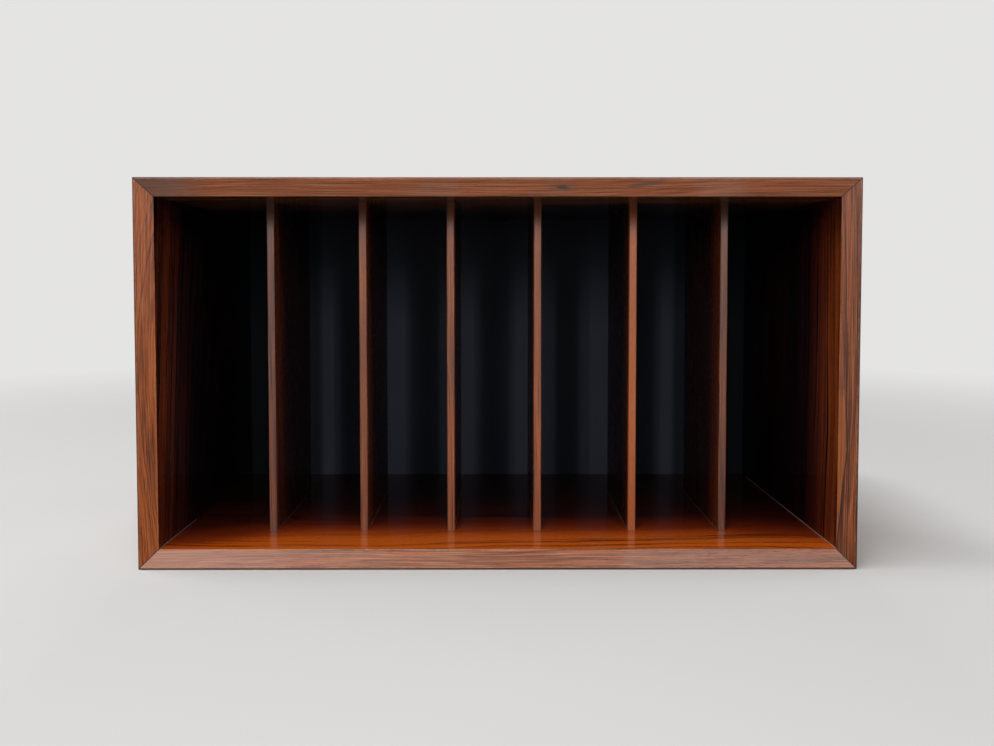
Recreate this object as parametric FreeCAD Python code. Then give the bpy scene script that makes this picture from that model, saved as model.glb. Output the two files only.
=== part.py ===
import FreeCAD, Part

import os
from math import sqrt

# A wall-hung record cabinet: four mitred boards with bevelled front lippings, thin fixed dividers for
# record sleeves, a back panel in a groove and a hanging rail behind it. Millimetres. X runs to the right,
# the front looks along -Y, Z is up, and the origin is the middle of the underside.

# Carcass
cabinet_width = 700.0
cabinet_height = 380.0
cabinet_depth = 360.0
board_thickness = 18.0
edge_ease = 0.8

# Front lippings: a narrow flat along the outer edge, then a bevel that falls back to the opening
lipping_depth = 16.0
lipping_flat = 1.6
bevel_fall = 6.0
bevel_ease = 0.8
tongue_thickness = 5.0
tongue_length = 6.0

# Loose splines across the mitres
spline_thickness = 4.0
spline_width = 12.0
spline_cover = 4.0
spline_stop = 20.0

# Back panel and the small notch in the middle of its top edge
back_thickness = 6.0
back_groove_depth = 7.0
notch_width = 27.0
notch_height = 3.0

# Dividers: evenly spaced, with each set by hand a little to the right (+) or left (-) of its even place
divider_shifts = (1.0, 1.75, -1.75, -6.0, -1.5, -1.5)
divider_count = len(divider_shifts)
divider_thickness = 8.0
divider_setback = 70.0
divider_back_gap = 96.0
divider_lipping_depth = 6.0
divider_ease = 1.2
housing_depth = 5.0

# Hanging rail, lower batten and their dowels
rail_margin = 5.0
rail_web = 7.0
batten_height = 40.0
dowel_diameter = 8.0
dowel_in_rail = 18.0
dowel_web = 6.0
dowel_edge = 12.0
dowel_chamfer = 1.0

# Keyhole hanger plates and their countersunk screws
hanger_inset = 82.0
plate_thickness = 2.0
plate_side = 5.0
plate_web = 3.5
plate_corner = 2.0
keyhole_entry = 10.0
keyhole_slot = 5.0
keyhole_rise = 12.0
pocket_depth = 9.0
pocket_margin = 1.0
screw_head = 6.5
screw_shank = 3.0
screw_tip = 2.5
screw_web = 4.0
drive_width = 0.9
drive_depth = 0.8

# Clearance round every glued or pressed joint, on each side
fit_gap = 0.1

# Planes that the pieces share
front = -cabinet_depth / 2
rear = cabinet_depth / 2
board_front = front + lipping_depth
inner_width = cabinet_width - 2 * board_thickness
inner_floor = board_thickness
inner_top = cabinet_height - board_thickness
board_middle = board_thickness / 2
rail_thickness = plate_thickness + pocket_depth + rail_web
back_rear = rear - rail_thickness
back_front = back_rear - back_thickness

centre = FreeCAD.Vector(0, 0, cabinet_height / 2)
along_x = FreeCAD.Vector(1, 0, 0)
along_y = FreeCAD.Vector(0, 1, 0)


def block(x_low, x_high, y_low, y_high, z_low, z_high):
    corner = FreeCAD.Vector(x_low, y_low, z_low)
    return Part.makeBox(x_high - x_low, y_high - y_low, z_high - z_low, corner)


def extruded(points, direction):
    outline = Part.makePolygon(points + points[:1])
    return Part.Face(outline).extrude(direction)


def rod_y(x, z, radius, y_low, y_high):
    return Part.makeCylinder(radius, y_high - y_low, FreeCAD.Vector(x, y_low, z), along_y)


def edges_along(shape, axis):
    return [edge for edge in shape.Edges if abs(edge.tangentAt(edge.FirstParameter).dot(axis)) > 0.999]


def edges_through(shape, y, z):
    edges = edges_along(shape, along_x)
    return [edge for edge in edges if edge.CenterOfMass.isEqual(FreeCAD.Vector(0, y, z), 0.001)]


def save(name, shape):
    shape.exportStep("parts/%s.step" % name)


# The boards and lippings are drawn once, as they lie in the bottom of the cabinet, and turned about the
# middle of the cabinet to the other three sides.
side_turn = {"bottom": 0, "left": 90, "top": 180, "right": 270}
flat_sides = ("bottom", "top")
side_length = {side: cabinet_width if side in flat_sides else cabinet_height for side in side_turn}
side_reach = {side: cabinet_height if side in flat_sides else cabinet_width for side in side_turn}


def placed(shape, side):
    moved = shape.copy()
    moved.translate(FreeCAD.Vector(0, 0, (cabinet_height - side_reach[side]) / 2))
    moved.rotate(centre, along_y, side_turn[side])
    return moved


def eased_outside():
    box = block(-cabinet_width / 2, cabinet_width / 2, front, rear, 0, cabinet_height)
    return box.makeFillet(edge_ease, box.Edges)


def mitred_bar(length, y_low, y_high):
    outer = length / 2
    inner = outer - board_thickness
    section = [(-outer, 0), (outer, 0), (inner, board_thickness), (-inner, board_thickness)]
    points = [FreeCAD.Vector(x, y_low, z) for x, z in section]
    return extruded(points, FreeCAD.Vector(0, y_high - y_low, 0))


# Splines, drawn across the mitre at the right-hand end of a bar. They stop short of the lipping and of the
# groove for the back panel.
spline_reach = (spline_width + spline_thickness) / 2 / sqrt(2)
spline_depth = spline_cover + spline_reach


def spline_bar(length, gap):
    half_width = spline_width / 2 + gap
    half_thickness = spline_thickness / 2 + gap
    y_low = board_front + spline_stop - gap
    y_high = back_front - spline_stop + gap
    bar = block(-half_width, half_width, y_low, y_high, -half_thickness, half_thickness)
    bar.rotate(FreeCAD.Vector(0, 0, 0), along_y, -45)
    bar.translate(FreeCAD.Vector(length / 2 - spline_depth, 0, spline_depth))
    return bar


# Carcass boards, with grooves for the lipping's tongue and the back panel, and slots for the splines
def carcass_board(length):
    half = length / 2
    board = mitred_bar(length, board_front, rear)
    tongue_low = board_middle - tongue_thickness / 2 - fit_gap
    tongue_high = board_middle + tongue_thickness / 2 + fit_gap
    tongue_end = board_front + tongue_length + fit_gap
    tongue_groove = block(-half, half, board_front, tongue_end, tongue_low, tongue_high)
    groove_low = board_thickness - back_groove_depth
    groove_front = back_front - fit_gap
    groove_rear = back_rear + fit_gap
    back_groove = block(-half, half, groove_front, groove_rear, groove_low, board_thickness)
    slot = spline_bar(length, fit_gap)
    other_slot = slot.mirror(FreeCAD.Vector(0, 0, 0), along_x)
    return board.cut([tongue_groove, back_groove, slot, other_slot])


# Front lippings, with a tongue along the back
def front_lipping(length):
    tongue_low = board_middle - tongue_thickness / 2
    tongue_high = board_middle + tongue_thickness / 2
    tongue_end = board_front + tongue_length
    bevel_end = front + bevel_fall
    section = [
        (board_front, 0),
        (front, 0),
        (front, lipping_flat),
        (bevel_end, board_thickness),
        (board_front, board_thickness),
        (board_front, tongue_high),
        (tongue_end, tongue_high),
        (tongue_end, tongue_low),
        (board_front, tongue_low),
    ]
    points = [FreeCAD.Vector(-length / 2, y, z) for y, z in section]
    strip = extruded(points, FreeCAD.Vector(length, 0, 0))
    strip = strip.makeFillet(bevel_ease, edges_through(strip, bevel_end, board_thickness))
    return strip.common(mitred_bar(length, front, tongue_end))


# Dividers: a thin panel let into stopped housings in the top and bottom, with a solid lipping in front
divider_pitch = inner_width / (divider_count + 1)
divider_front = front + divider_setback
panel_front = divider_front + divider_lipping_depth
divider_end = back_front - divider_back_gap


def divider_centre(number):
    even_place = number * divider_pitch - inner_width / 2
    return even_place + divider_shifts[number - 1]


def divider_panel(number, gap):
    half = divider_thickness / 2 + gap
    x = divider_centre(number)
    z_low = inner_floor - housing_depth - gap
    z_high = inner_top + housing_depth + gap
    return block(x - half, x + half, panel_front - gap, divider_end + gap, z_low, z_high)


def divider_lipping(number):
    half = divider_thickness / 2
    x = divider_centre(number)
    strip = block(x - half, x + half, divider_front, panel_front, inner_floor, inner_top)
    uprights = edges_along(strip, FreeCAD.Vector(0, 0, 1))
    arrises = [edge for edge in uprights if abs(edge.CenterOfMass.y - divider_front) < 0.001]
    return strip.makeFillet(divider_ease, arrises)


# Back panel, held in the groove on all four sides
def back_panel():
    half = inner_width / 2 + back_groove_depth - fit_gap
    z_low = inner_floor - back_groove_depth + fit_gap
    z_high = inner_top + back_groove_depth - fit_gap
    panel = block(-half, half, back_front, back_rear, z_low, z_high)
    notch_low = inner_top - notch_height
    notch = block(-notch_width / 2, notch_width / 2, back_front, back_rear, notch_low, z_high)
    return panel.cut(notch)


# Keyhole plates, laid out from the lower end of the plate upwards
screw_low = plate_web + screw_head / 2
entry_height = screw_low + screw_head / 2 + plate_web + keyhole_entry / 2
slot_height = entry_height + keyhole_rise
screw_high = slot_height + keyhole_slot / 2 + plate_web + screw_head / 2
plate_height = screw_high + screw_head / 2 + plate_web
plate_width = keyhole_entry + 2 * plate_side
rail_height = plate_height + 2 * rail_margin
rail_bottom = inner_top - rail_height
plate_bottom = rail_bottom + rail_margin
plate_front = rear - plate_thickness
hanger_places = {"left": hanger_inset - inner_width / 2, "right": inner_width / 2 - hanger_inset}


def plate_blank(x, gap):
    half = plate_width / 2 + gap
    z_low = plate_bottom - gap
    z_high = plate_bottom + plate_height + gap
    blank = block(x - half, x + half, plate_front, rear, z_low, z_high)
    return blank.makeFillet(plate_corner + gap, edges_along(blank, along_y))


def keyhole(x):
    entry = plate_bottom + entry_height
    top = plate_bottom + slot_height
    round_entry = rod_y(x, entry, keyhole_entry / 2, plate_front, rear)
    slot = block(x - keyhole_slot / 2, x + keyhole_slot / 2, plate_front, rear, entry, top)
    slot_end = rod_y(x, top, keyhole_slot / 2, plate_front, rear)
    return round_entry.fuse([slot, slot_end])


def screw_body(x, z, gap):
    head_radius = screw_head / 2 + gap
    shank_radius = screw_shank / 2 + gap
    head_depth = head_radius - shank_radius
    tip_end = back_rear + screw_web - gap
    tip_start = tip_end + screw_tip
    head_start = rear - head_depth
    tip = Part.makeCone(0, shank_radius, screw_tip, FreeCAD.Vector(x, tip_end, z), along_y)
    shank = rod_y(x, z, shank_radius, tip_start, head_start)
    head = Part.makeCone(shank_radius, head_radius, head_depth, FreeCAD.Vector(x, head_start, z), along_y)
    return tip.fuse([shank, head])


def screw_places():
    heights = (plate_bottom + screw_low, plate_bottom + screw_high)
    return [(x, z) for x in hanger_places.values() for z in heights]


def plate_screw(x, z):
    half = screw_head / 2
    half_drive = drive_width / 2
    drive = block(x - half, x + half, rear - drive_depth, rear, z - half_drive, z + half_drive)
    return screw_body(x, z, 0).cut(drive)


def keyhole_plate(x):
    holes = [screw_body(place_x, place_z, fit_gap) for place_x, place_z in screw_places()]
    return plate_blank(x, 0).cut([keyhole(x)] + holes)


# Hanging rail and lower batten, which lie behind the back panel and are dowelled to the side boards
batten_top = inner_floor + batten_height
dowel_in_side = board_thickness - dowel_web
dowel_heights = (
    rail_bottom + dowel_edge,
    inner_top - dowel_edge,
    inner_floor + dowel_edge,
    batten_top - dowel_edge,
)


def dowel(side_sign, z, gap):
    inner_end = inner_width / 2 - dowel_in_rail - gap
    length = dowel_in_rail + dowel_in_side + 2 * gap
    start = FreeCAD.Vector(side_sign * inner_end, back_rear + rail_thickness / 2, z)
    return Part.makeCylinder(dowel_diameter / 2 + gap, length, start, along_x * side_sign)


def finished_dowel(side_sign, z):
    pin = dowel(side_sign, z, 0)
    rims = [edge for edge in pin.Edges if edge.Closed]
    return pin.makeChamfer(dowel_chamfer, rims)


dowel_places = [(side_sign, z) for side_sign in (-1, 1) for z in dowel_heights]
dowel_holes = [dowel(side_sign, z, fit_gap) for side_sign, z in dowel_places]


def head_pocket(x):
    half = keyhole_entry / 2 + pocket_margin
    z_low = plate_bottom + entry_height - half
    z_high = plate_bottom + slot_height + half
    return block(x - half, x + half, plate_front - pocket_depth, plate_front, z_low, z_high)


def hanging_rail():
    rail = block(-inner_width / 2, inner_width / 2, back_rear, rear, rail_bottom, inner_top)
    recesses = [plate_blank(x, fit_gap) for x in hanger_places.values()]
    pockets = [head_pocket(x) for x in hanger_places.values()]
    pilots = [screw_body(x, z, fit_gap) for x, z in screw_places()]
    return rail.cut(recesses + pockets + pilots + dowel_holes)


def lower_batten():
    batten = block(-inner_width / 2, inner_width / 2, back_rear, rear, inner_floor, batten_top)
    return batten.cut(dowel_holes)


# The pieces, one file each
os.makedirs("parts", exist_ok=True)
divider_numbers = range(1, divider_count + 1)
housings = [divider_panel(number, fit_gap) for number in divider_numbers]
outside = eased_outside()
corner_names = {"bottom": "bottom_right", "left": "bottom_left", "top": "top_left", "right": "top_right"}
board_names = {"bottom": "bottom_board", "left": "left_side", "top": "top_board", "right": "right_side"}

for side, length in side_length.items():
    board = placed(carcass_board(length), side).common(outside)
    if side in flat_sides:
        board = board.cut(housings)
    else:
        board = board.cut(dowel_holes)
    save(board_names[side], board)
    save(side + "_lipping", placed(front_lipping(length), side).common(outside))
    save("spline_" + corner_names[side], placed(spline_bar(length, 0), side))

for number in divider_numbers:
    save("divider_%d" % number, divider_panel(number, 0))
    save("divider_lipping_%d" % number, divider_lipping(number))

save("back_panel", back_panel())
save("hanging_rail", hanging_rail())
save("lower_batten", lower_batten())
save("rail_dowels", Part.makeCompound([finished_dowel(sign, z) for sign, z in dowel_places]))
for name, x in hanger_places.items():
    save("keyhole_plate_" + name, keyhole_plate(x))
save("plate_screws", Part.makeCompound([plate_screw(x, z) for x, z in screw_places()]))
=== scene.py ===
import bpy
import math
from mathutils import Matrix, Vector


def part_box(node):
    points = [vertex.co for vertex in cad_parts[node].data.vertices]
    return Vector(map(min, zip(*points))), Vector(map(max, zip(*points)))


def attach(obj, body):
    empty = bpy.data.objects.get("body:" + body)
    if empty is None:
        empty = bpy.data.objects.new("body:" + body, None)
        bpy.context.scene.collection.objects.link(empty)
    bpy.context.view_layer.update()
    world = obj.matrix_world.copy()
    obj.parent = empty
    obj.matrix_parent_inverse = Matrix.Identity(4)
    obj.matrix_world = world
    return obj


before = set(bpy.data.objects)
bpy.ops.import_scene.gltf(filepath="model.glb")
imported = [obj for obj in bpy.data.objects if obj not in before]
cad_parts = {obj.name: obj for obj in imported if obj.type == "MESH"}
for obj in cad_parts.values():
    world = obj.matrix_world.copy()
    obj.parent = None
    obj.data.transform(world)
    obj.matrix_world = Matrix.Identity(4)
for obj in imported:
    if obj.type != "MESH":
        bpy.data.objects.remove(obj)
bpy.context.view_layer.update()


# Carcass boards
# Four 18 mm boards faced with rosewood veneer, grain running round the box, mitred at the corners.
# The inside is lacquered to a gloss. Its colour is darkened towards the back as painted shade, and paled
# under the top as a painted sheen.
class Shade:
    """One output of a finish's nodes. Sums on it add Math nodes, and node() adds any other node."""

    def __init__(self, tree, output=None):
        self.tree = tree
        self.output = output

    def node(self, kind, settings=None, inputs=None, output=0):
        made = self.tree.nodes.new(kind)
        for name, value in (settings or {}).items():
            if name == "stops":
                ramp = made.color_ramp
                while len(ramp.elements) < len(value):
                    ramp.elements.new(1.0)
                for element, (position, colour) in zip(ramp.elements, value):
                    element.position = position
                    element.color = (*colour, 1.0)
            else:
                setattr(made, name, value)
        for key, value in (inputs or {}).items():
            if isinstance(value, Shade):
                self.tree.links.new(value.output, made.inputs[key])
            elif isinstance(value, tuple) and made.inputs[key].type == "RGBA":
                made.inputs[key].default_value = (*value, 1.0)
            else:
                made.inputs[key].default_value = value
        return Shade(self.tree, made.outputs[output] if made.outputs else None)

    def other(self, output):
        return Shade(self.tree, self.output.node.outputs[output])

    def math(self, operation, *values):
        return self.node("ShaderNodeMath", {"operation": operation}, dict(enumerate(values)))

    def smooth(self, low, high):
        limits = {"Value": self, "From Min": low, "From Max": high}
        return self.node("ShaderNodeMapRange", {"interpolation_type": "SMOOTHSTEP"}, limits)

    def rise(self, low, high, amount):
        return self.smooth(low, high) * amount

    def fall(self, low, high, amount):
        return (1.0 - self.smooth(low, high)) * amount

    def __add__(self, value):
        return self.math("ADD", self, value)

    def __radd__(self, value):
        return self.math("ADD", value, self)

    def __sub__(self, value):
        return self.math("SUBTRACT", self, value)

    def __rsub__(self, value):
        return self.math("SUBTRACT", value, self)

    def __mul__(self, value):
        return self.math("MULTIPLY", self, value)

    def __rmul__(self, value):
        return self.math("MULTIPLY", value, self)

    def __abs__(self):
        return self.math("ABSOLUTE", self)


def start_finish(name):
    made = bpy.data.materials.new(name)
    made.use_nodes = True
    made.node_tree.nodes.clear()
    return made, Shade(made.node_tree)


def lay_on(finish, inputs):
    surface = finish.node("ShaderNodeBsdfPrincipled", inputs=inputs)
    finish.node("ShaderNodeOutputMaterial", inputs={"Surface": surface})


def places(finish):
    spot = finish.node("ShaderNodeTexCoord", output="Object")
    x = finish.node("ShaderNodeSeparateXYZ", inputs={"Vector": spot}, output="X")
    return x, x.other("Y"), x.other("Z")


def mottle(a, b, c, detail=2.0, rough=0.5):
    spot = a.node("ShaderNodeCombineXYZ", inputs={"X": a, "Y": b, "Z": c})
    sizes = {"Vector": spot, "Scale": 1.0, "Detail": detail, "Roughness": rough}
    return a.node("ShaderNodeTexNoise", None, sizes, "Fac")


def tint(amount, under, over, way="MIX"):
    settings = {"data_type": "RGBA", "blend_type": way}
    shades = [value for value in (amount, under, over) if isinstance(value, Shade)]
    return shades[0].node("ShaderNodeMix", settings, {0: amount, 6: under, 7: over}, 2)


def relief(height, strength, depth):
    return height.node("ShaderNodeBump", None, {"Height": height, "Strength": strength, "Distance": depth})


def dress(finish, *names):
    for name in names:
        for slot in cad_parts[name].material_slots:
            slot.material = finish


VEIN = (0.014, 0.004, 0.003)
HEART = (0.070, 0.016, 0.005)
BODY = (0.190, 0.045, 0.009)
STREAK = (0.400, 0.090, 0.012)
FLECK = (0.400, 0.190, 0.100)
# How often each mark of the wood comes, per metre along the grain and per metre across it.
WANDER_RATE = (2.3, 6.0)
RIPPLE_RATE = (11.0, 30.0)
PATCH_RATE = (5.0, 19.0)
FIBRE_RATE = (5.0, 600.0)
GRAIN_RATE = (12.0, 1500.0)
PORE_RATE = (140.0, 2600.0)


def drawn_out(along, across, through, seed, rate, detail=2.0):
    return mottle(along * rate[0] + seed, across * rate[1], through * rate[1], detail)


def by_year(year, seed):
    return year.node("ShaderNodeTexWhiteNoise", {"noise_dimensions": "1D"}, {"W": year + seed}, "Value")


def rosewood(along, across, through, seed, pith, tilt, sway, tone, rings, figure):
    """Colour, pores and grain of one leaf of rosewood, cut across rings round a pith off the leaf."""
    wander = drawn_out(along, across, through, seed, WANDER_RATE) - 0.5
    ripple = drawn_out(along, across, through, seed, RIPPLE_RATE) - 0.5
    side = across - pith[0] + (wander + ripple * 0.12) * sway
    deep = through - pith[1] + along * tilt
    ring = along.math("SQRT", side * side + deep * deep)
    uneven = mottle(ring * 130.0 + seed, along * 2.2, through * 4.0, 3.0, 0.6) - 0.5
    growth = ring * rings + uneven * 2.5
    year = growth.math("FLOOR", growth)
    late = (growth - year).smooth(0.45, 0.97) * by_year(year, seed)
    hue = by_year(year, seed + 0.5) - 0.5
    fibre = drawn_out(along, side, through, seed, FIBRE_RATE) - 0.5
    grain = drawn_out(along, side, through, seed, GRAIN_RATE, 1.0)
    patch = drawn_out(along, across, through, seed, PATCH_RATE) - 0.5
    pores = drawn_out(along, side, through, seed, PORE_RATE, 1.0).smooth(0.60, 0.70)
    light = tone + patch * 0.30 + hue * figure * 0.5 + fibre * 0.6 + (grain - 0.5) * 1.5 - late * figure
    stops = ((0.02, VEIN), (0.30, HEART), (0.58, BODY), (0.98, STREAK))
    colour = along.node("ShaderNodeValToRGB", {"stops": stops}, {"Fac": light}, "Color")
    colour = tint(grain.smooth(0.54, 0.72) * 0.30, colour, FLECK)
    colour = tint(pores * 0.45, colour, VEIN)
    return colour, pores, grain


INNER_HALF_WIDTH = 0.341
INNER_HALF_HEIGHT = 0.181
MID_HEIGHT = 0.190
REAR_EDGE = 0.177
PAINTED_SHADE = (0.030, 0.040, 0.40)
REDDER = (1.0, 0.64, 0.85)
FLOOR_LACQUER = (1.12, 0.88, 0.42)
# The left wall's tint is darker than the right's: amber lacquer with painted shade.
LEFT_LACQUER_AND_SHADE = (0.64, 0.50, 0.70)
RIGHT_LACQUER = (0.96, 0.80, 0.80)
TOP_PAINTED_SHEEN = (2.2, 3.8, 6.5)
# Painted shade towards the back: near from, to, how dark and how red, then far from, to and how dark.
FLOOR_PAINTED_SHADE = ((-0.145, -0.085, 0.75, 1.0), (-0.095, -0.040, 0.20))
LEFT_PAINTED_SHADE = ((-0.155, -0.065, 0.90, 1.0), (-0.070, 0.000, 0.07))
RIGHT_PAINTED_SHADE = ((-0.158, -0.088, 0.86, 1.0), (-0.090, -0.045, 0.11))
TOP_PAINTED_SHADE = ((-0.150, -0.090, 0.35, 0.0), (-0.040, 0.070, 0.58))
# Painted shadow on the floor's ends, painted shade at the heads of the sides, and their darker feet: from,
# to and how much.
SHADOWED_LEFT = (-0.330, -0.190, 0.048)
SHADOWED_RIGHT = (0.200, 0.330, 0.022)
SIDE_HEAD_SHADE = (0.305, 0.352, 0.62)
SIDE_FOOT = (0.050, 0.180, 0.48)
OUTER_ROUGHNESS = 0.58
LACQUER_GLOSS = 0.49
# Painted shade by depth, lacquer tint (a painted sheen on the top, partly painted shade on the left side),
# the axes along, across and through the grain, then the leaf as rosewood() takes it.
BOARD_LEAVES = {
    "bottom_board": (FLOOR_PAINTED_SHADE, FLOOR_LACQUER, "XYZ", 3.1, (0.060, -0.075), 0.03, 0.10, 1.24, 52.0, 0.85),
    "top_board": (TOP_PAINTED_SHADE, TOP_PAINTED_SHEEN, "XYZ", 7.7, (-0.045, 0.450), 0.05, 0.05, 0.62, 90.0, 0.55),
    "left_side": (LEFT_PAINTED_SHADE, LEFT_LACQUER_AND_SHADE, "ZYX", 12.4, (0.050, -0.420), 0.16, 0.04, 0.70, 100.0, 0.85),
    "right_side": (RIGHT_PAINTED_SHADE, RIGHT_LACQUER, "ZYX", 18.9, (0.300, 0.430), 0.10, 0.04, 0.86, 130.0, 1.25),
}


def board_face(spot, name):
    shade_depths, lacquer_and_painted_light, order, *leaf = BOARD_LEAVES[name]
    (near_from, near_to, near_dark, near_red), far = shade_depths
    colour, pores, grain = rosewood(*(spot[axis] for axis in order), *leaf)
    wide = abs(spot["X"])
    tall = abs(spot["Z"] - MID_HEIGHT)
    inside = wide.math("LESS_THAN", wide, INNER_HALF_WIDTH) * tall.math("LESS_THAN", tall, INNER_HALF_HEIGHT)
    inside = inside * spot["Y"].math("LESS_THAN", spot["Y"], REAR_EDGE)
    back = spot["Y"]
    # Painted shadow of the sides at the floor's ends: the painted shade starts nearer the front there.
    if name == "bottom_board":
        back = back + spot["X"].fall(*SHADOWED_LEFT) + spot["X"].rise(*SHADOWED_RIGHT)
    # Painted shade: the inside darkens and reddens towards the back.
    shade_red_mask = back.smooth(near_from, near_to)
    shade_dark_mask = shade_red_mask * near_dark + back.rise(*far)
    # Lacquer tint inside: a painted sheen on the top board, and partly painted shade on the left side.
    colour = tint(inside, colour, lacquer_and_painted_light, "MULTIPLY")
    colour = tint(inside * shade_red_mask * near_red, colour, REDDER, "MULTIPLY")
    colour = tint(inside * shade_dark_mask, colour, PAINTED_SHADE, "MULTIPLY")
    if order[0] == "Z":
        # Painted shade under the top at the head of each side; the feet are darker too.
        shaded_head_and_dark_foot = spot["Z"].rise(*SIDE_HEAD_SHADE) + spot["Z"].fall(*SIDE_FOOT)
        colour = tint(inside * shaded_head_and_dark_foot, colour, PAINTED_SHADE, "MULTIPLY")
    gloss = OUTER_ROUGHNESS - inside * LACQUER_GLOSS + (grain - 0.5) * 0.05 + pores * 0.04
    return colour, gloss, grain * 0.3 - pores


for name in BOARD_LEAVES:
    finish, shade = start_finish("rosewood " + name)
    spot = dict(zip("XYZ", places(shade)))
    colour, gloss, height = board_face(spot, name)
    lay_on(shade, {"Base Color": colour, "Roughness": gloss, "Normal": relief(height, 0.12, 0.0003)})
    dress(finish, name)


# Mitre splines
# Loose beech tongues, glued across the grain of each mitred corner and stopped short of the front.
# They hold the corners square, and no part of them shows once the box is glued up.
BEECH_PALE = (0.58, 0.37, 0.20)
BEECH_DEEP = (0.40, 0.22, 0.10)
BEECH_FLECK = (0.25, 0.12, 0.05)
BEECH_FRONT_SHADE = (0.004, 0.004, 0.005)
SHADE_EDGE = 0.002


def planed_beech(name, shaded_to=None):
    finish, shade = start_finish(name)
    x, y, z = places(shade)
    grown = mottle(x * 3.0, y * 90.0, z * 90.0, 3.0, 0.6)
    flecks = mottle(x * 260.0, y * 1500.0, z * 1500.0, 1.0).smooth(0.62, 0.72)
    soiled = mottle(x * 7.0, y * 11.0, z * 11.0, 3.0)
    colour = tint(grown.smooth(0.30, 0.72), BEECH_PALE, BEECH_DEEP)
    colour = tint(flecks * 0.55, colour, BEECH_FLECK)
    colour = tint(soiled.smooth(0.50, 0.75) * 0.35, colour, BEECH_DEEP)
    if shaded_to is not None:
        # Painted shade: the front faces are darkened to near black.
        colour = tint(1.0 - y.smooth(shaded_to, shaded_to + SHADE_EDGE), colour, BEECH_FRONT_SHADE)
    lay_on(shade, {
        "Base Color": colour,
        "Specular IOR Level": 0.15,
        "Roughness": 0.58 + (grown - 0.5) * 0.15,
        "Normal": relief(grown - flecks * 0.5, 0.15, 0.0004),
    })
    return finish


splines = ("spline_bottom_left", "spline_bottom_right", "spline_top_left", "spline_top_right")
dress(planed_beech("beech"), *splines)


# Front lippings
# Solid rosewood strips, tongued and glued to the front edges of the boards, mitred at the corners.
# Their faces are planed back in a wide bevel to the opening, and left satin from oil and wax.
HALF_WIDTH = 0.350
HEIGHT = 0.380
BOARD = 0.018
FRONT = -0.180
BEVEL_END = -0.174
GLUE_LINE_AND_RIM_SHADE = (0.010, 0.004, 0.003)
RUBBED_AND_HIGHLIGHT = (0.52, 0.26, 0.15)
DRY_FIBRE = (0.36, 0.22, 0.155)
DULL_END = (0.105, 0.050, 0.034)
PALE_END_AND_SHEEN = (0.46, 0.22, 0.15)
# Ends of the top and bottom strips that have dulled, and the paler bottom left end with a painted sheen:
# from, to and how much.
TOP_DULL_LEFT = (-0.325, -0.270, 0.65)
BOTTOM_PALE_SHEEN_LEFT = (-0.330, -0.120, 0.45)
BOTTOM_DULL_RIGHT = (0.080, 0.220, 0.28)
KNOT_X, KNOT_Z = 0.0622, 0.3706
KNOT_HALF_LENGTH = 0.018
KNOT_HALF_HEIGHT = 0.0050
KNOT_HALO = (0.35, 1.05, 0.50)
KNOT_CORE = (0.15, 0.50, 0.80)
KNOT_HEART = (0.050, 0.016, 0.007)
SMUDGE_X, SMUDGE_Z = 0.1418, 0.3735
SMUDGE_RISE = 0.16
SMUDGE_ENDS = (0.010, 0.024, 0.70)
SMUDGE_EDGES = (0.0006, 0.0032)


def with_knot(colour, spot):
    """The top strip's small ragged knot, and the dull smudge to the right of it."""
    beside_knot = (spot["X"] - KNOT_X) * (1.0 / KNOT_HALF_LENGTH)
    above_knot = (spot["Z"] - KNOT_Z) * (1.0 / KNOT_HALF_HEIGHT)
    ragged = mottle(spot["X"] * 180.0, spot["Y"] * 180.0, spot["Z"] * 500.0) - 0.5
    from_knot = ragged.math("SQRT", beside_knot * beside_knot + above_knot * above_knot) + ragged * 0.7
    colour = tint(from_knot.fall(*KNOT_HALO), colour, DULL_END)
    colour = tint(from_knot.fall(*KNOT_CORE), colour, KNOT_HEART)
    along_smudge = spot["X"] - SMUDGE_X
    from_smudge = abs(spot["Z"] - SMUDGE_Z - along_smudge * SMUDGE_RISE + ragged * 0.0015)
    smudged = from_smudge.fall(*SMUDGE_EDGES, abs(along_smudge).fall(*SMUDGE_ENDS))
    return tint(smudged, colour, DULL_END)


SAPWOOD = (0.44, 0.125, 0.030)
SAP_EDGE = (-0.0012, 0.0, 0.40)
VEIN_X = 0.3398
VEIN_TURN = 0.117
VEIN_LEAN_BELOW = 0.08
VEIN_LEAN_ABOVE = 0.03
VEIN_SHAKE = 0.0014
VEIN_FOOT = (0.016, 0.026)
VEIN_HEAD = (0.160, 0.178)
VEIN_EDGE = (0.0002, 0.0007, 0.85)


def with_sap_vein(colour, spot):
    """The dark vein, edged with sapwood, that climbs the lower half of the right strip and bends once."""
    below = spot["Z"].math("MAXIMUM", VEIN_TURN - spot["Z"], 0.0)
    above = spot["Z"].math("MAXIMUM", spot["Z"] - VEIN_TURN, 0.0)
    shake = mottle(spot["Z"] * 55.0, spot["X"] * 20.0, spot["Y"] * 20.0, 3.0) - 0.5
    beside = spot["X"] - VEIN_X + below * VEIN_LEAN_BELOW + above * VEIN_LEAN_ABOVE + shake * VEIN_SHAKE
    reach = spot["Z"].smooth(*VEIN_FOOT) * (1.0 - spot["Z"].smooth(*VEIN_HEAD))
    colour = tint(beside.fall(*SAP_EDGE) * reach, colour, SAPWOOD)
    return tint(abs(beside).fall(*VEIN_EDGE) * reach, colour, VEIN)


def blotches(spot, rate, shift, rough):
    return mottle(spot["X"] * rate + shift, spot["Y"] * rate, spot["Z"] * rate, 3.0, rough)


MITRE_LINE = (0.0003, 0.0011, 0.85)
OUTER_ARRIS = 0.0019
OUTER_ARRIS_WEAR_AND_HIGHLIGHT = (0.0002, 0.0008, 0.25)
INNER_ARRIS_WEAR_AND_HIGHLIGHT = (0.0168, 0.0176, 0.22)
INNER_ARRIS_DEPTH = 0.001
RIM_SHADE = (0.0004, 0.0016, 0.70)
RIM_SHADE_DEPTH = (FRONT + 0.0005, FRONT + 0.0025)
OUTER_SKIN = 0.0003
OPENING_EDGE = BOARD - 0.00005
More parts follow.
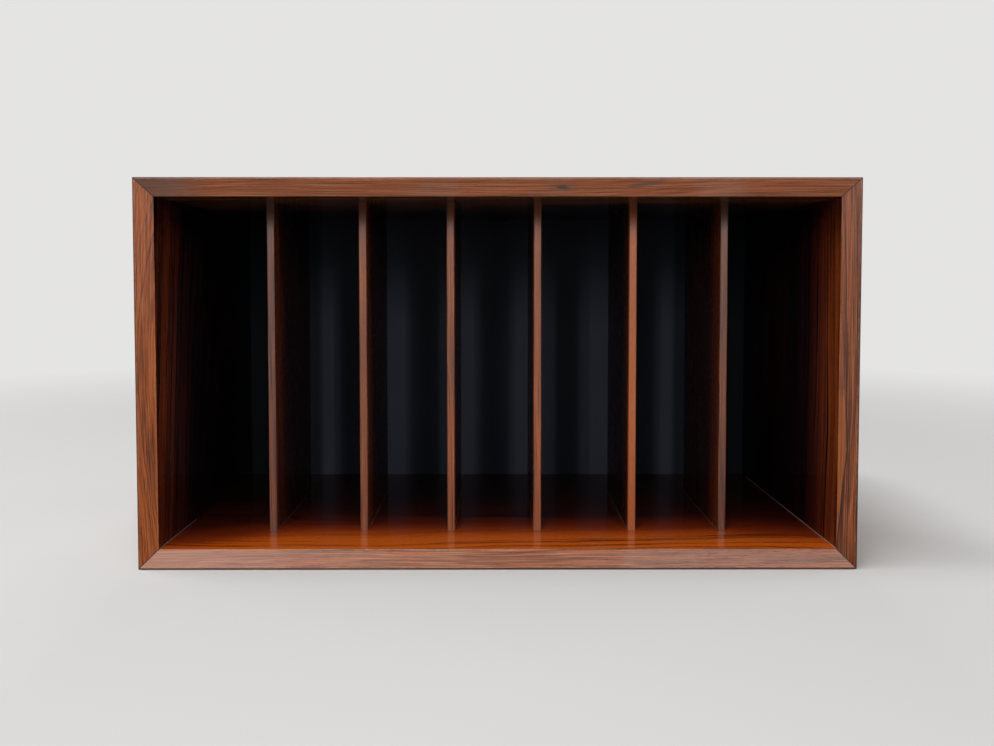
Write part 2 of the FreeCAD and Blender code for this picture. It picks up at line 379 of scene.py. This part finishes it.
# Board behind, shine, dryness, the axes along, across and through, then the strip as rosewood() takes it.
LIPPING_STRIPS = {
    "bottom_lipping": (
        "bottom_board", 0.35, 0.70, "XZY", 23.6, (-0.050, -0.130), 0.05, 0.02, 0.68, 420.0, 0.24),
    "top_lipping": (
        "top_board", 0.50, 1.00, "XZY", 31.3, (0.430, -0.120), -0.06, 0.02, 0.80, 420.0, 0.24),
    "left_lipping": (
        "left_side", 0.25, 0.12, "ZXY", 37.2, (-0.300, -0.140), 0.20, 0.05, 0.74, 340.0, 0.29),
    "right_lipping": (
        "right_side", 0.25, 0.12, "ZXY", 44.8, (0.290, -0.150), -0.05, 0.015, 0.51, 380.0, 0.17),
}
for name, (board, shine, dryness, order, *strip) in LIPPING_STRIPS.items():
    finish, shade = start_finish("rosewood " + name)
    spot = dict(zip("XYZ", places(shade)))
    colour, pores, grain = rosewood(*(spot[axis] for axis in order), *strip)
    dried = blotches(spot, 14.0, 3.0, 0.6).smooth(0.46, 0.68)
    colour = tint((dried * 0.20 + grain.smooth(0.46, 0.74) * 0.28) * dryness, colour, DRY_FIBRE)
    if name == "top_lipping":
        colour = tint(spot["X"].fall(*TOP_DULL_LEFT), colour, DULL_END)
        colour = with_knot(colour, spot)
    if name == "bottom_lipping":
        # Paler wood with a painted sheen at the bottom strip's left end.
        colour = tint(spot["X"].fall(*BOTTOM_PALE_SHEEN_LEFT), colour, PALE_END_AND_SHEEN)
        colour = tint(spot["X"].rise(*BOTTOM_DULL_RIGHT), colour, DULL_END)
    if name == "right_lipping":
        colour = with_sap_vein(colour, spot)
    from_side = HALF_WIDTH - abs(spot["X"])
    from_end = spot["Z"].math("MINIMUM", spot["Z"], HEIGHT - spot["Z"])
    from_edge = from_side.math("MINIMUM", from_side, from_end)
    # Pale lines along the arrises: partly wear and partly a painted highlight.
    outer_wear_and_highlight = abs(from_edge - OUTER_ARRIS).fall(*OUTER_ARRIS_WEAR_AND_HIGHLIGHT)
    inner_wear_and_highlight = from_edge.rise(*INNER_ARRIS_WEAR_AND_HIGHLIGHT)
    inner_wear_and_highlight = spot["Y"].fall(BEVEL_END, BEVEL_END + INNER_ARRIS_DEPTH, inner_wear_and_highlight)
    arris_breakup = blotches(spot, 60.0, 5.0, 0.7).smooth(0.42, 0.66)
    colour = tint((outer_wear_and_highlight + inner_wear_and_highlight) * arris_breakup, colour, RUBBED_AND_HIGHLIGHT)
    # Painted shade: a dark line on the rounded outer rim of the front.
    colour = tint(spot["Y"].fall(*RIM_SHADE_DEPTH, from_edge.fall(*RIM_SHADE)), colour, GLUE_LINE_AND_RIM_SHADE)
    low_mitre = abs(from_side - spot["Z"])
    high_mitre = abs(from_side - (HEIGHT - spot["Z"]))
    # The mitre joints get a real dark glue line in the same colour.
    line_from, line_to, line_dark = MITRE_LINE
    joint = 1.0 - low_mitre.math("MINIMUM", low_mitre, high_mitre).smooth(line_from, line_to)
    colour = tint(joint * line_dark, colour, GLUE_LINE_AND_RIM_SHADE)
    outside = 1.0 - from_edge.smooth(0.0, OUTER_SKIN)
    satin = 0.33 + (grain - 0.5) * 0.12 + pores * 0.10 + outside * 0.25
    board_colour, gloss, board_height = board_face(spot, board)
    opening = from_edge.math("GREATER_THAN", from_edge, OPENING_EDGE)
    lay_on(shade, {
        "Base Color": tint(opening, colour, board_colour),
        "Roughness": satin + (gloss - satin) * opening,
        "Specular IOR Level": shine,
        "Normal": relief(grain * 0.4 - pores - joint, 0.22, 0.0003),
    })
    dress(finish, name)


# Dividers
# Six thin upright leaves of rosewood-veneered board, each let into housings in the floor and the top.
# They stand well back from the front and stop short of the back panel, so that a hand can pass.
DIVIDER_COUNT = 6
DIVIDER_LACQUER = (1.0, 0.80, 0.50)
DIVIDER_TONES = (0.60, 0.74, 0.62, 0.62, 0.54, 0.92)
DIVIDER_SHADE_DEPTH = (-0.110, -0.055, 0.50)
DIVIDER_SHADE = 0.45
for number in range(1, DIVIDER_COUNT + 1):
    name = "divider_%d" % number
    finish, shade = start_finish("rosewood " + name)
    x, y, z = places(shade)
    seed = 50.0 + 6.3 * number
    pith = (0.04 - 0.02 * number, 0.10 * number)
    tone = DIVIDER_TONES[number - 1]
    colour, pores, grain = rosewood(z, y, x, seed, pith, 0.04, 0.03, tone, 80.0, 0.60)
    colour = tint(1.0, colour, DIVIDER_LACQUER, "MULTIPLY")
    # Painted shade: the divider faces are darkened all over, and more towards the back.
    colour = tint(y.rise(*DIVIDER_SHADE_DEPTH) + DIVIDER_SHADE, colour, PAINTED_SHADE, "MULTIPLY")
    lay_on(shade, {
        "Base Color": colour,
        "Specular IOR Level": 0.3,
        "Roughness": 0.26 + (grain - 0.5) * 0.08 + pores * 0.06,
        "Normal": relief(grain * 0.3 - pores, 0.12, 0.0003),
    })
    dress(finish, name)


# Divider lippings
# A narrow solid strip of rosewood on the front edge of each divider, cut from an offcut of its own.
# So the tone changes from one to the next. The heads carry a painted shadow of the top and are duller, and
# the feet are darker.
STRIP_TONES = (0.38, 0.64, 0.68, 0.72, 1.35, 0.40)
PAINTED_SHADE_HEAD = (0.315, 0.345)
PAINTED_SHADE_HEAD_COLOUR = (0.44, 0.42, 0.43)
DULL_HEAD = (0.330, 0.354, 0.40)
DARKER_FOOT = (0.040, 0.130, 0.6)
DARKER_FOOT_COLOUR = (0.62, 0.60, 0.66)
for number in range(1, DIVIDER_COUNT + 1):
    name = "divider_lipping_%d" % number
    finish, shade = start_finish("rosewood " + name)
    x, y, z = places(shade)
    low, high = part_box(name)
    seed = 90.0 + 7.1 * number
    pith = ((low.x + high.x) / 2 - 0.03, -0.15)
    tone = STRIP_TONES[number - 1]
    colour, pores, grain = rosewood(z, x, y, seed, pith, 0.03, 0.01, tone, 420.0, 0.26)
    # Painted shadow of the top on each strip's head.
    colour = tint(z.smooth(*PAINTED_SHADE_HEAD), colour, PAINTED_SHADE_HEAD_COLOUR, "MULTIPLY")
    # Darker towards the foot.
    colour = tint(z.fall(*DARKER_FOOT), colour, DARKER_FOOT_COLOUR, "MULTIPLY")
    lay_on(shade, {
        "Base Color": colour,
        "Roughness": 0.40 + (grain - 0.5) * 0.12 + pores * 0.10 + z.rise(*DULL_HEAD),
        "Normal": relief(grain * 0.4 - pores, 0.2, 0.0003),
    })
    dress(finish, name)


# Back panel
# A sheet of hardboard in a groove round the box. Its front is stained a flat blue-black, darkened with
# painted shade in the two outer slots. Its rear is bare, brown and a little fibrous, with darker blotches.
PANEL_MIDDLE = 0.159
OUTER_SLOT_SHADE = (0.232, 0.242, 0.9)
BLACK_STAIN = (0.029, 0.033, 0.046)
BLACK_WORN = (0.038, 0.042, 0.056)
BLACK_PAINTED_SHADE = (0.008, 0.011, 0.015)
HARDBOARD = (0.21, 0.115, 0.055)
HARDBOARD_DARK = (0.105, 0.055, 0.028)
finish, shade = start_finish("black stained hardboard")
x, y, z = places(shade)
cloud = mottle(x * 9.0, y * 9.0, z * 5.0, 3.0, 0.6)
fibre = mottle(x * 700.0, y * 700.0, z * 420.0, 3.0, 0.7)
rubbed = mottle(x * 60.0, y * 60.0, z * 9.0, 2.0)
front = tint(cloud.smooth(0.35, 0.70) * 0.6 + rubbed.smooth(0.5, 0.8) * 0.3, BLACK_STAIN, BLACK_WORN)
# Painted shade: the two outer slots of the panel are darker.
front = tint(abs(x).rise(*OUTER_SLOT_SHADE), front, BLACK_PAINTED_SHADE)
rear = tint(fibre.smooth(0.35, 0.65), HARDBOARD, HARDBOARD_DARK)
rear = tint(cloud.smooth(0.52, 0.72) * 0.5, rear, HARDBOARD_DARK)
behind = y.math("GREATER_THAN", y, PANEL_MIDDLE)
lay_on(shade, {
    "Base Color": tint(behind, front, rear),
    "Roughness": 0.55 + (fibre - 0.5) * 0.2 + behind * 0.25,
    "Specular IOR Level": 0.03,
    "Normal": relief(fibre, 0.10, 0.0004),
})
dress(finish, "back_panel")


# Hanging rail, lower batten and dowels
# Plain beech lengths behind the back panel: the rail hangs on the wall, the batten keeps the box plumb.
# Dowels join them to the sides. Their fronts are darkened to black, painted shade where the panel's notch
# shows the rail; the rest is left bare.
SHADED_TO = 0.1625
dress(planed_beech("beech painted shade in front", SHADED_TO), "hanging_rail", "lower_batten")
dress(planed_beech("dowel beech"), "rail_dowels")


# Keyhole plates
# Pressed steel hanger plates, zinc plated, let in flush with the rear of the rail.
# The plating is dulled in patches and finely scratched up and down, the way that the wall screws run.
ZINC = (0.60, 0.61, 0.60)
ZINC_DULL = (0.38, 0.37, 0.34)
finish, shade = start_finish("zinc plated steel")
x, y, z = places(shade)
spangle = mottle(x * 240.0, y * 240.0, z * 240.0, 3.0, 0.6)
scratch = mottle(x * 2600.0, y * 2600.0, z * 120.0, 2.0)
dulled = mottle(x * 45.0, y * 45.0, z * 45.0, 3.0).smooth(0.45, 0.72)
lay_on(shade, {
    "Base Color": tint(dulled * 0.7 + spangle.smooth(0.5, 0.7) * 0.2, ZINC, ZINC_DULL),
    "Metallic": 1.0,
    "Roughness": 0.30 + dulled * 0.22 + (scratch - 0.5) * 0.25,
    "Normal": relief(scratch + spangle * 0.5, 0.08, 0.0002),
})
dress(finish, "keyhole_plate_left", "keyhole_plate_right")


# Plate screws
# Short countersunk wood screws of bright zinc-plated steel that hold the plates in the rail.
# Turning has left fine marks on their heads, and grime dulls them in patches.
SCREW_BRIGHT = (0.66, 0.66, 0.64)
SCREW_DARK = (0.20, 0.18, 0.16)
finish, shade = start_finish("screw steel")
x, y, z = places(shade)
turned = mottle(x * 1800.0, y * 1800.0, z * 1800.0, 2.0)
grime = mottle(x * 320.0, y * 320.0, z * 320.0, 3.0).smooth(0.50, 0.70)
lay_on(shade, {
    "Base Color": tint(grime * 0.8, SCREW_BRIGHT, SCREW_DARK),
    "Metallic": 1.0,
    "Roughness": 0.26 + grime * 0.3 + (turned - 0.5) * 0.15,
    "Normal": relief(turned, 0.06, 0.0002),
})
dress(finish, "plate_screws")


# Wax in the corners
# Years of wax polish have gathered in the inner corners of the floor and dried to a thin pale bead.
# It runs along both sides of the box, darkened with painted shade on the left and further in, and more
# finely along each divider's foot.
FLOOR_LEVEL = 0.018
INNER_SIDE = 0.332
CORNER_RADIUS = 0.0006
FOOT_RADIUS = 0.0002
FOOT_SETBACK = 0.001
WAX_START = -0.1725
WAX_END_LEFT = -0.066
WAX_END_RIGHT = 0.135
WAX_PALE = (0.26, 0.17, 0.14)
WAX_BROWN_AND_SHADE = (0.10, 0.05, 0.04)
WAX_PAINTED_SHADE = (0.020, 0.008, 0.006)
SHADED_LEFT_CORNER = (-0.30, -0.20)
BROWN_SHADE_FURTHER_IN = (-0.165, -0.080, 0.4)
SHADE_FURTHER_IN = (-0.130, -0.070, 0.8)
wax_finish, shade = start_finish("dried wax")
x, y, z = places(shade)
crumbs = mottle(x * 300.0, y * 120.0, z * 300.0, 3.0, 0.7)
shaded_left_corner = 1.0 - x.smooth(*SHADED_LEFT_CORNER)
# Random brown in the wax, plus painted shade on the left and towards the back.
browned_and_shaded = crumbs.smooth(0.40, 0.68) * 0.6 + y.rise(*BROWN_SHADE_FURTHER_IN) + shaded_left_corner * 0.5
colour = tint(browned_and_shaded, WAX_PALE, WAX_BROWN_AND_SHADE)
colour = tint(shaded_left_corner * y.rise(*SHADE_FURTHER_IN), colour, WAX_PAINTED_SHADE)
lay_on(shade, {
    "Base Color": colour,
    "Roughness": 0.60 + (crumbs - 0.5) * 0.2,
    "Normal": relief(crumbs, 0.3, 0.0003),
})
BEAD_STEP = 0.006
BEAD_SIDES = 10
BEAD_LUMPS = 90.0
BEAD_THIN = 0.6
BEAD_FULL = 1.15
BEAD_TAIL = 0.35


def bead_tree():
    tree = bpy.data.node_groups.new("wax bead", "GeometryNodeTree")
    sockets = tree.interface
    sockets.new_socket("Corner lines", in_out="INPUT", socket_type="NodeSocketGeometry")
    sockets.new_socket("Radius", in_out="INPUT", socket_type="NodeSocketFloat")
    sockets.new_socket("Wax", in_out="INPUT", socket_type="NodeSocketMaterial")
    sockets.new_socket("Bead", in_out="OUTPUT", socket_type="NodeSocketGeometry")
    start = tree.nodes.new("NodeGroupInput")
    line = tree.nodes.new("GeometryNodeMeshToCurve")
    cut = tree.nodes.new("GeometryNodeResampleCurve")
    uneven = tree.nodes.new("ShaderNodeTexNoise")
    swell = tree.nodes.new("ShaderNodeMapRange")
    along = tree.nodes.new("GeometryNodeSplineParameter")
    taper = tree.nodes.new("ShaderNodeMapRange")
    thick = tree.nodes.new("ShaderNodeMath")
    width = tree.nodes.new("GeometryNodeSetCurveRadius")
    round_section = tree.nodes.new("GeometryNodeCurvePrimitiveCircle")
    sweep = tree.nodes.new("GeometryNodeCurveToMesh")
    real = tree.nodes.new("GeometryNodeRealizeInstances")
    colour = tree.nodes.new("GeometryNodeSetMaterial")
    end = tree.nodes.new("NodeGroupOutput")
    cut.mode = "LENGTH"
    cut.inputs["Length"].default_value = BEAD_STEP
    uneven.inputs["Scale"].default_value = BEAD_LUMPS
    swell.inputs["From Min"].default_value = 0.3
    swell.inputs["From Max"].default_value = 0.7
    swell.inputs["To Min"].default_value = BEAD_THIN
    swell.inputs["To Max"].default_value = BEAD_FULL
    taper.inputs["To Min"].default_value = 1.0
    taper.inputs["To Max"].default_value = BEAD_TAIL
    thick.operation = "MULTIPLY"
    round_section.inputs["Resolution"].default_value = BEAD_SIDES
    sweep.inputs["Fill Caps"].default_value = True
    join = tree.links.new
    join(start.outputs["Corner lines"], line.inputs["Mesh"])
    join(line.outputs["Curve"], cut.inputs["Curve"])
    join(cut.outputs["Curve"], width.inputs["Curve"])
    join(uneven.outputs["Fac"], swell.inputs["Value"])
    join(along.outputs["Factor"], taper.inputs["Value"])
    join(swell.outputs["Result"], thick.inputs[0])
    join(taper.outputs["Result"], thick.inputs[1])
    join(thick.outputs["Value"], width.inputs["Radius"])
    join(start.outputs["Radius"], round_section.inputs["Radius"])
    join(width.outputs["Curve"], sweep.inputs["Curve"])
    join(round_section.outputs["Curve"], sweep.inputs["Profile Curve"])
    join(sweep.outputs["Mesh"], real.inputs["Geometry"])
    join(real.outputs["Geometry"], colour.inputs["Geometry"])
    join(start.outputs["Wax"], colour.inputs["Material"])
    join(colour.outputs["Geometry"], end.inputs["Bead"])
    return tree


def lay_wax(name, tree, lines, radius):
    points = [point for line in lines for point in line]
    edges = [(2 * k, 2 * k + 1) for k in range(len(lines))]
    corners = bpy.data.meshes.new(name)
    corners.from_pydata(points, edges, [])
    piece = bpy.data.objects.new(name, corners)
    bpy.context.scene.collection.objects.link(piece)
    modifier = piece.modifiers.new("bead", "NODES")
    modifier.node_group = tree
    for socket in tree.interface.items_tree:
        if socket.name == "Radius":
            modifier[socket.identifier] = radius
        if socket.name == "Wax":
            modifier[socket.identifier] = wax_finish
    view = bpy.context.evaluated_depsgraph_get()
    swept = bpy.data.meshes.new_from_object(piece.evaluated_get(view))
    piece.modifiers.clear()
    piece.data = swept
    piece.data.name = name
    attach(piece, "root")


wax_tree = bead_tree()
side_lines = []
for side, wax_end in ((-INNER_SIDE, WAX_END_LEFT), (INNER_SIDE, WAX_END_RIGHT)):
    side_lines.append([(side, WAX_START, FLOOR_LEVEL), (side, wax_end, FLOOR_LEVEL)])
lay_wax("wax_in_floor_corners", wax_tree, side_lines, CORNER_RADIUS)
foot_lines = []
for number in range(1, DIVIDER_COUNT + 1):
    low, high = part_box("divider_%d" % number)
    front_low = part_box("divider_lipping_%d" % number)[0]
    for side in (low.x, high.x):
        foot_lines.append([(side, front_low.y + FOOT_SETBACK, FLOOR_LEVEL), (side, high.y, FLOOR_LEVEL)])
lay_wax("wax_at_divider_feet", wax_tree, foot_lines, FOOT_RADIUS)


# Studio floor and backdrop
# A plain pale floor that keeps the cabinet's shadow and fades into the pale air, so no horizon shows.
# It throws back less light than it shows, so that little comes up from it onto the cabinet.
PALE = (0.78, 0.775, 0.77)
AMBIENT = (1.0, 1.0, 1.0)
AMBIENT_STRENGTH = 0.12
FLOOR_COLOUR = (0.50, 0.495, 0.49)
FLOOR_BOUNCE = (0.08, 0.08, 0.08)
FLOOR_REACH = 12.0
FLOOR_DROP = -0.0006
FADE_FROM = 0.6
FADE_TO = 2.2


def in_sight(finish):
    ray = finish.node("ShaderNodeLightPath", output="Is Camera Ray")
    seen = ray.math("MAXIMUM", ray, ray.other("Is Glossy Ray"))
    return seen.math("MAXIMUM", seen, ray.other("Is Transmission Ray"))


floor_mesh = bpy.data.meshes.new("studio_floor")
floor_corners = [(-FLOOR_REACH, -FLOOR_REACH), (FLOOR_REACH, -FLOOR_REACH),
                 (FLOOR_REACH, FLOOR_REACH), (-FLOOR_REACH, FLOOR_REACH)]
floor_mesh.from_pydata([(px, py, FLOOR_DROP) for px, py in floor_corners], [], [(0, 1, 2, 3)])
studio_floor = bpy.data.objects.new("studio_floor", floor_mesh)
bpy.context.scene.collection.objects.link(studio_floor)
finish, shade = start_finish("studio floor")
x, y, z = places(shade)
away = x.math("SQRT", x * x + y * y).smooth(FADE_FROM, FADE_TO)
seen = in_sight(shade)
quiet = shade.node("ShaderNodeBsdfDiffuse", inputs={"Color": FLOOR_BOUNCE})
pale = shade.node("ShaderNodeBsdfDiffuse", inputs={"Color": FLOOR_COLOUR})
matt = shade.node("ShaderNodeMixShader", inputs={0: seen, 1: quiet, 2: pale})
glow = shade.node("ShaderNodeEmission", inputs={"Color": PALE, "Strength": 1.0})
mixed = shade.node("ShaderNodeMixShader", inputs={0: away * seen, 1: matt, 2: glow})
shade.node("ShaderNodeOutputMaterial", inputs={"Surface": mixed})
floor_mesh.materials.append(finish)

world = bpy.data.worlds.new("studio air")
world.use_nodes = True
world.node_tree.nodes.clear()
bpy.context.scene.world = world
air = Shade(world.node_tree)
lit = air.node("ShaderNodeBackground", inputs={"Color": AMBIENT, "Strength": AMBIENT_STRENGTH})
shown = air.node("ShaderNodeBackground", inputs={"Color": PALE, "Strength": 1.0})
mixed = air.node("ShaderNodeMixShader", inputs={0: in_sight(air), 1: lit, 2: shown})
air.node("ShaderNodeOutputWorld", inputs={"Surface": mixed})


# Studio lights
# Two tall narrow strips, far in front and above the camera, reach through the slots to the back panel.
# A long soft box overhead lights the bevels and the front of the floor. A low wide panel far in front,
# two boxes at the front corners, a panel on each side and one behind fill in the rest.
def soft_lamp(name, width, height, place, target, watts):
    lamp = bpy.data.lights.new(name, "AREA")
    lamp.shape = "RECTANGLE"
    lamp.size = width
    lamp.size_y = height
    lamp.energy = watts
    stand = bpy.data.objects.new(name, lamp)
    stand.location = place
    stand.rotation_euler = (Vector(target) - Vector(place)).to_track_quat("-Z", "Y").to_euler()
    stand.visible_camera = False
    bpy.context.scene.collection.objects.link(stand)


CABINET_FACE = (0.0, -0.18, 0.19)
CABINET_MIDDLE = (0.0, 0.0, 0.19)
IN_FRONT_OF_IT = (-0.10, -0.40, 0.02)
for side in (-1, 1):
    soft_lamp("front strip", 0.20, 2.0, (side * 1.90, -8.1, 2.65), CABINET_FACE, 72.0)
    soft_lamp("front side box", 0.8, 0.6, (side * 1.05, -2.15, 1.0), CABINET_FACE, 9.0)
    soft_lamp("side panel", 1.8, 1.4, (side * 2.5, 0.35, 0.95), CABINET_MIDDLE, 20.0)
soft_lamp("far panel", 5.0, 1.2, (0.0, -6.0, 0.62), CABINET_FACE, 34.0)
soft_lamp("overhead box", 1.8, 0.25, (-0.40, -0.63, 2.60), IN_FRONT_OF_IT, 68.0)
soft_lamp("rear panel", 1.2, 0.9, (0.0, 2.3, 1.7), CABINET_MIDDLE, 22.0)


# Camera
# It stands 0.84 m in front of the cabinet, three quarters of the way up it, and looks slightly down.
# Its frame is shifted down so that the cabinet sits where the picture has it.
CAMERA_PLACE = (-0.0016, -1.0228, 0.2827)
CAMERA_PITCH = 2.305
CAMERA_YAW = -0.152
CAMERA_LENS = 31.74
CAMERA_SENSOR = 36.0
CAMERA_SHIFT = (-0.0016, -0.0593)
camera_data = bpy.data.cameras.new("camera")
camera_data.sensor_width = CAMERA_SENSOR
camera_data.lens = CAMERA_LENS
camera_data.shift_x, camera_data.shift_y = CAMERA_SHIFT
camera = bpy.data.objects.new("camera", camera_data)
camera.location = CAMERA_PLACE
camera.rotation_euler = (math.radians(90 - CAMERA_PITCH), 0, math.radians(CAMERA_YAW))
bpy.context.scene.collection.objects.link(camera)
bpy.context.scene.camera = camera
bpy.context.scene.view_settings.view_transform = "Standard"
